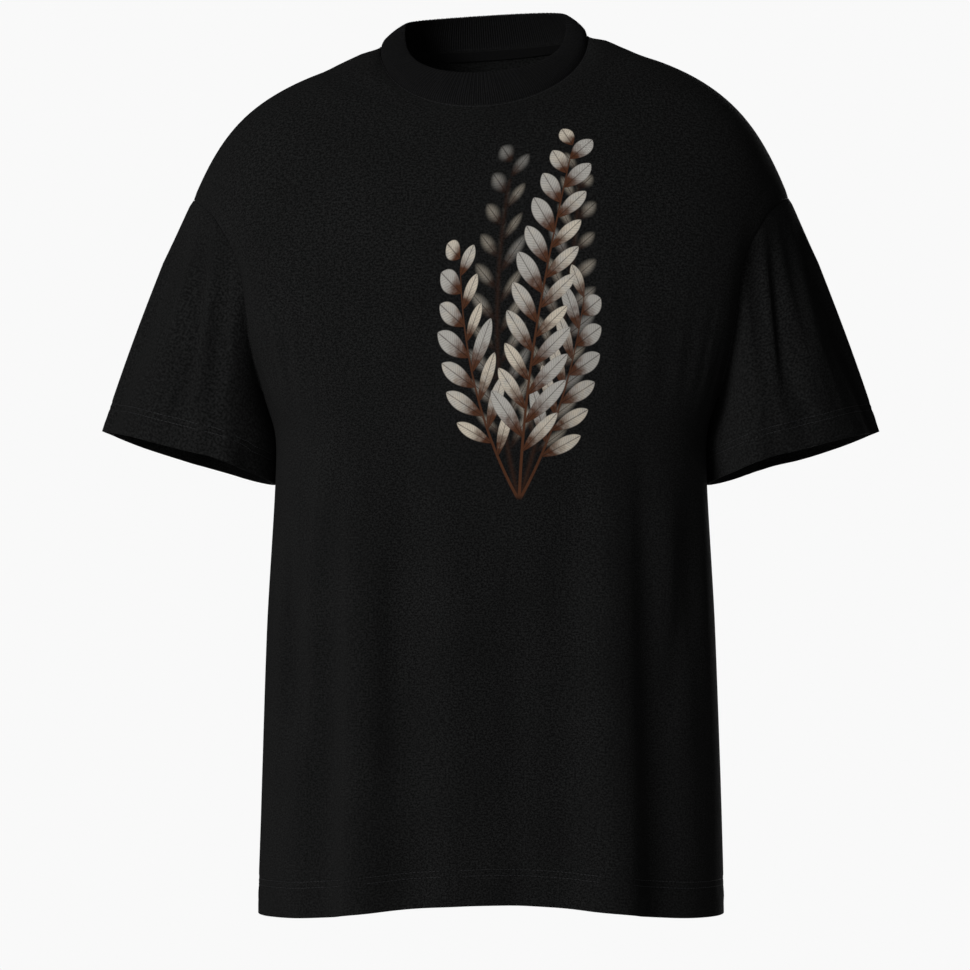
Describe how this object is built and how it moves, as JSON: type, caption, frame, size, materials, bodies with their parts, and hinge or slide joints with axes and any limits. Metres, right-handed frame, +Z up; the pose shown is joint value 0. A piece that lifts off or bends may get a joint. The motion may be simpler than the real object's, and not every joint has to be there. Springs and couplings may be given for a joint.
{
  "type": "t-shirt",
  "caption": "Loose-fit crew-neck T-shirt in heavy cotton jersey with dropped shoulders, rib collar and turned hems, hanging as worn.",
  "frame": {"origin": "midway between the two high points of the shoulders, where the shirt rests on its wearer", "axes": "+Z up, the chest faces -Y, +X towards the wearer's left sleeve"},
  "size_m": [0.662, 0.273, 0.7765],
  "materials": {
    "jersey": "matte black cotton jersey, with a printed design in cream, silver grey and brown on the front",
    "rib": "matte black one-by-one rib knit",
    "tape": "matte black cotton tape",
    "thread": "black spun polyester sewing thread, slightly shiny"
  },
  "bodies": {
    "root": {"front_panel": "jersey", "back_panel": "jersey", "sleeve_left": "jersey", "sleeve_right": "jersey", "collar_rib": "rib", "neck_tape": "tape"}
  },
  "joints": []
}
